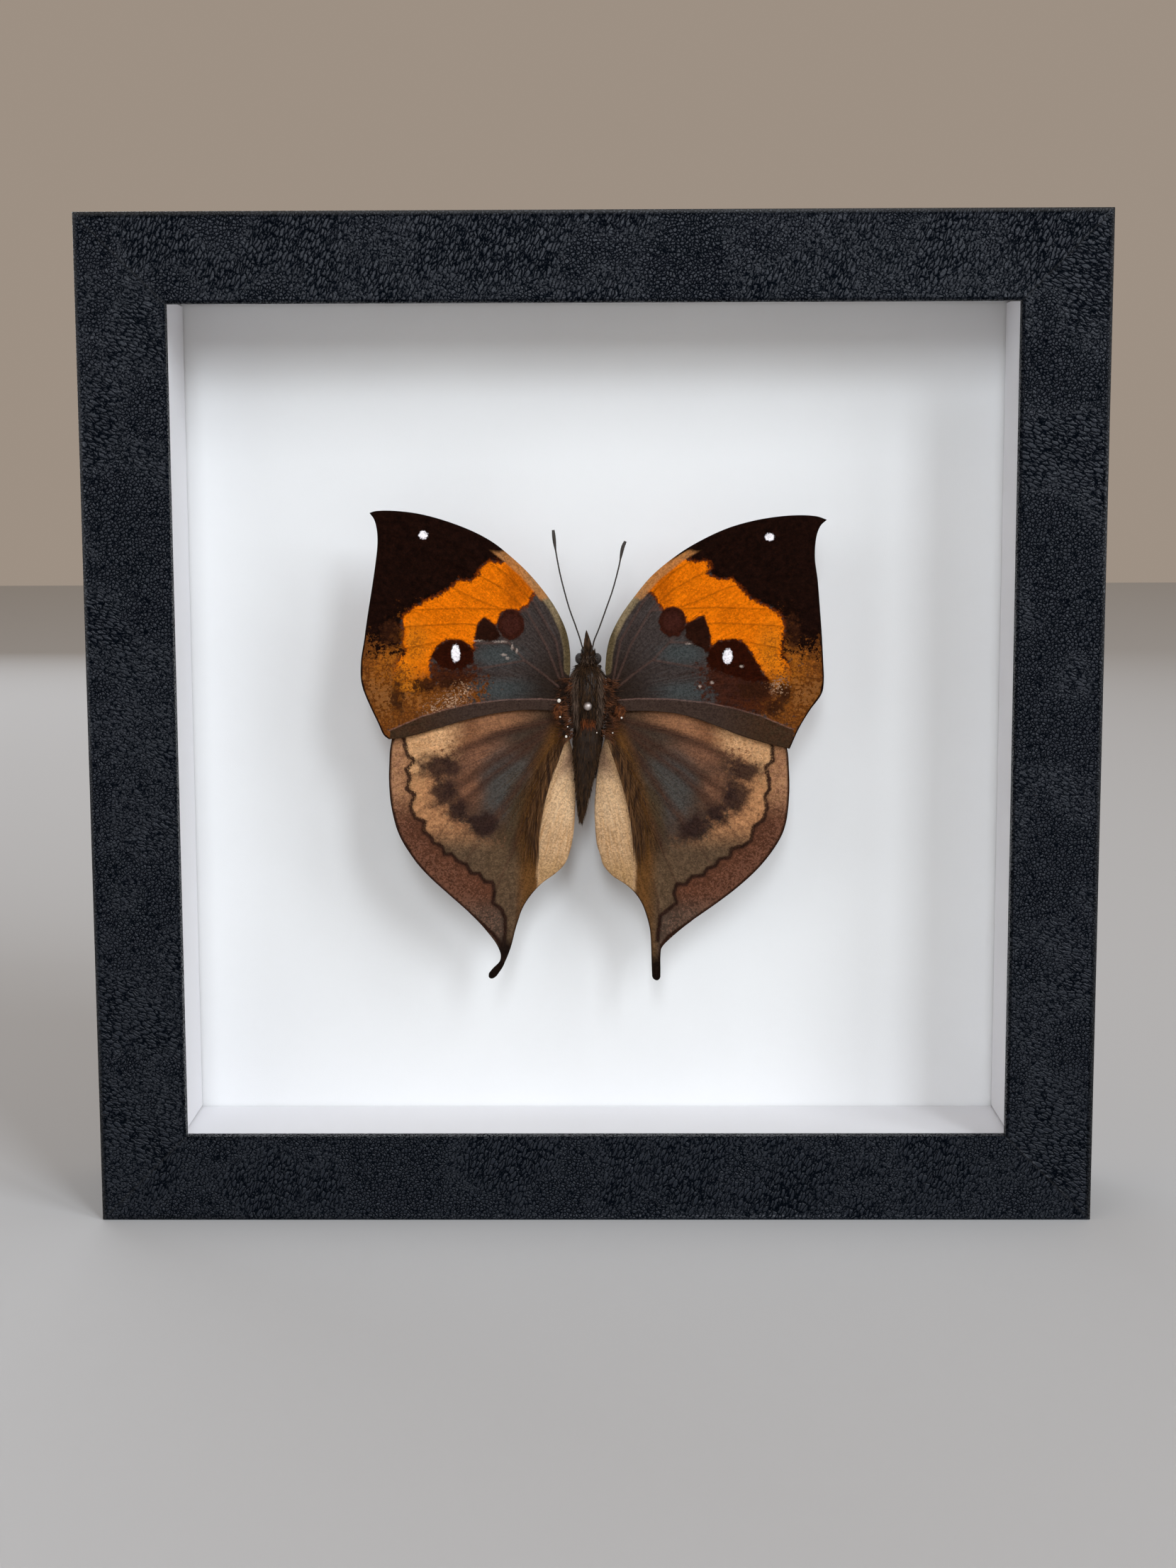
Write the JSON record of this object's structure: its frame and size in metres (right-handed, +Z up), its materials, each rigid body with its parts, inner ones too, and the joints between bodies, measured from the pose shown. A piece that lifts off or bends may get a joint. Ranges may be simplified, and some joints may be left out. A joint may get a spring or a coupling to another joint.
{
  "type": "framed butterfly specimen",
  "caption": "Square black leatherette shadow box with glass, displaying a pinned orange-banded oakleaf butterfly with spread wings on a white board.",
  "frame": {"origin": "middle of the box's footprint, on the underside of the bottom rail", "axes": "+X to the right as seen from the front, +Z up, and the glass faces -Y"},
  "size_m": [0.2, 0.0424, 0.2],
  "materials": {
    "leatherette": "pebble grained, satin",
    "glass": "clear",
    "white_board": "matte",
    "hardboard": "matte",
    "steel": "satin",
    "brass": "satin",
    "body_hair": "matte, hairy",
    "forewing": "matte scales",
    "hindwing": "matte scales"
  },
  "bodies": {
    "root": {"rail_bottom": "leatherette", "rail_left": "leatherette", "rail_top": "leatherette", "rail_right": "leatherette", "glass_pane": "glass", "liner_bottom": "white_board", "liner_left": "white_board", "liner_top": "white_board", "liner_right": "white_board", "mount_board": "white_board", "back_panel": "hardboard", "point_bottom_1": "steel", "point_bottom_2": "steel", "point_left_1": "steel", "point_left_2": "steel", "point_top_1": "steel", "point_top_2": "steel", "point_right_1": "steel", "point_right_2": "steel", "hanger": "brass", "hanger_nail_left": "brass", "hanger_nail_right": "brass", "body": "body_hair", "antenna_left": "body_hair", "antenna_right": "body_hair", "forewing_left": "forewing", "forewing_right": "forewing", "hindwing_left": "hindwing", "hindwing_right": "hindwing", "pin": "steel"}
  },
  "joints": []
}
